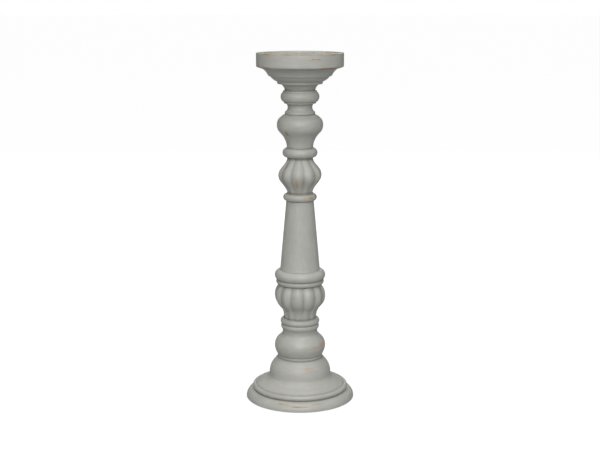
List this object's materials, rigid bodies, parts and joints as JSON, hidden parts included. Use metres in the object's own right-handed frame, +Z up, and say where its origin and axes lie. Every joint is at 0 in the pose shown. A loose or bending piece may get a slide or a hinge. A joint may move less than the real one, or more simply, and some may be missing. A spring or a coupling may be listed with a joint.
{
  "type": "candlestick",
  "caption": "Tall turned wooden candlestick with carved lobed bulbs, a bell base on a moulded foot, and a wide shallow cup for a pillar candle.",
  "frame": {"origin": "centre of the underside, on the surface it stands on", "axes": "+Z up along the turning axis; -Y is the front, +X to the right"},
  "size_m": [0.1434, 0.1434, 0.457],
  "materials": {
    "painted_wood": "warm grey paint, satin, worn at the edges over brown wood",
    "beech": "bare fluted beech dowel",
    "zinc_steel": "zinc plated",
    "felt": "dense wool felt"
  },
  "bodies": {
    "root": {"candle_cup": "painted_wood", "neck_collar": "painted_wood", "vase_knop": "painted_wood", "upper_melon": "painted_wood", "column_shaft": "painted_wood", "shaft_collar": "painted_wood", "lower_melon": "painted_wood", "ball_knop": "painted_wood", "bell_base": "painted_wood", "foot_plinth": "painted_wood", "cup_dowel": "beech", "neck_dowel": "beech", "vase_dowel": "beech", "shaft_dowel": "beech", "collar_dowel": "beech", "melon_dowel": "beech", "stem_screw": "zinc_steel", "stem_washer": "zinc_steel", "foot_screws": "zinc_steel", "felt_disc": "felt"}
  },
  "joints": []
}
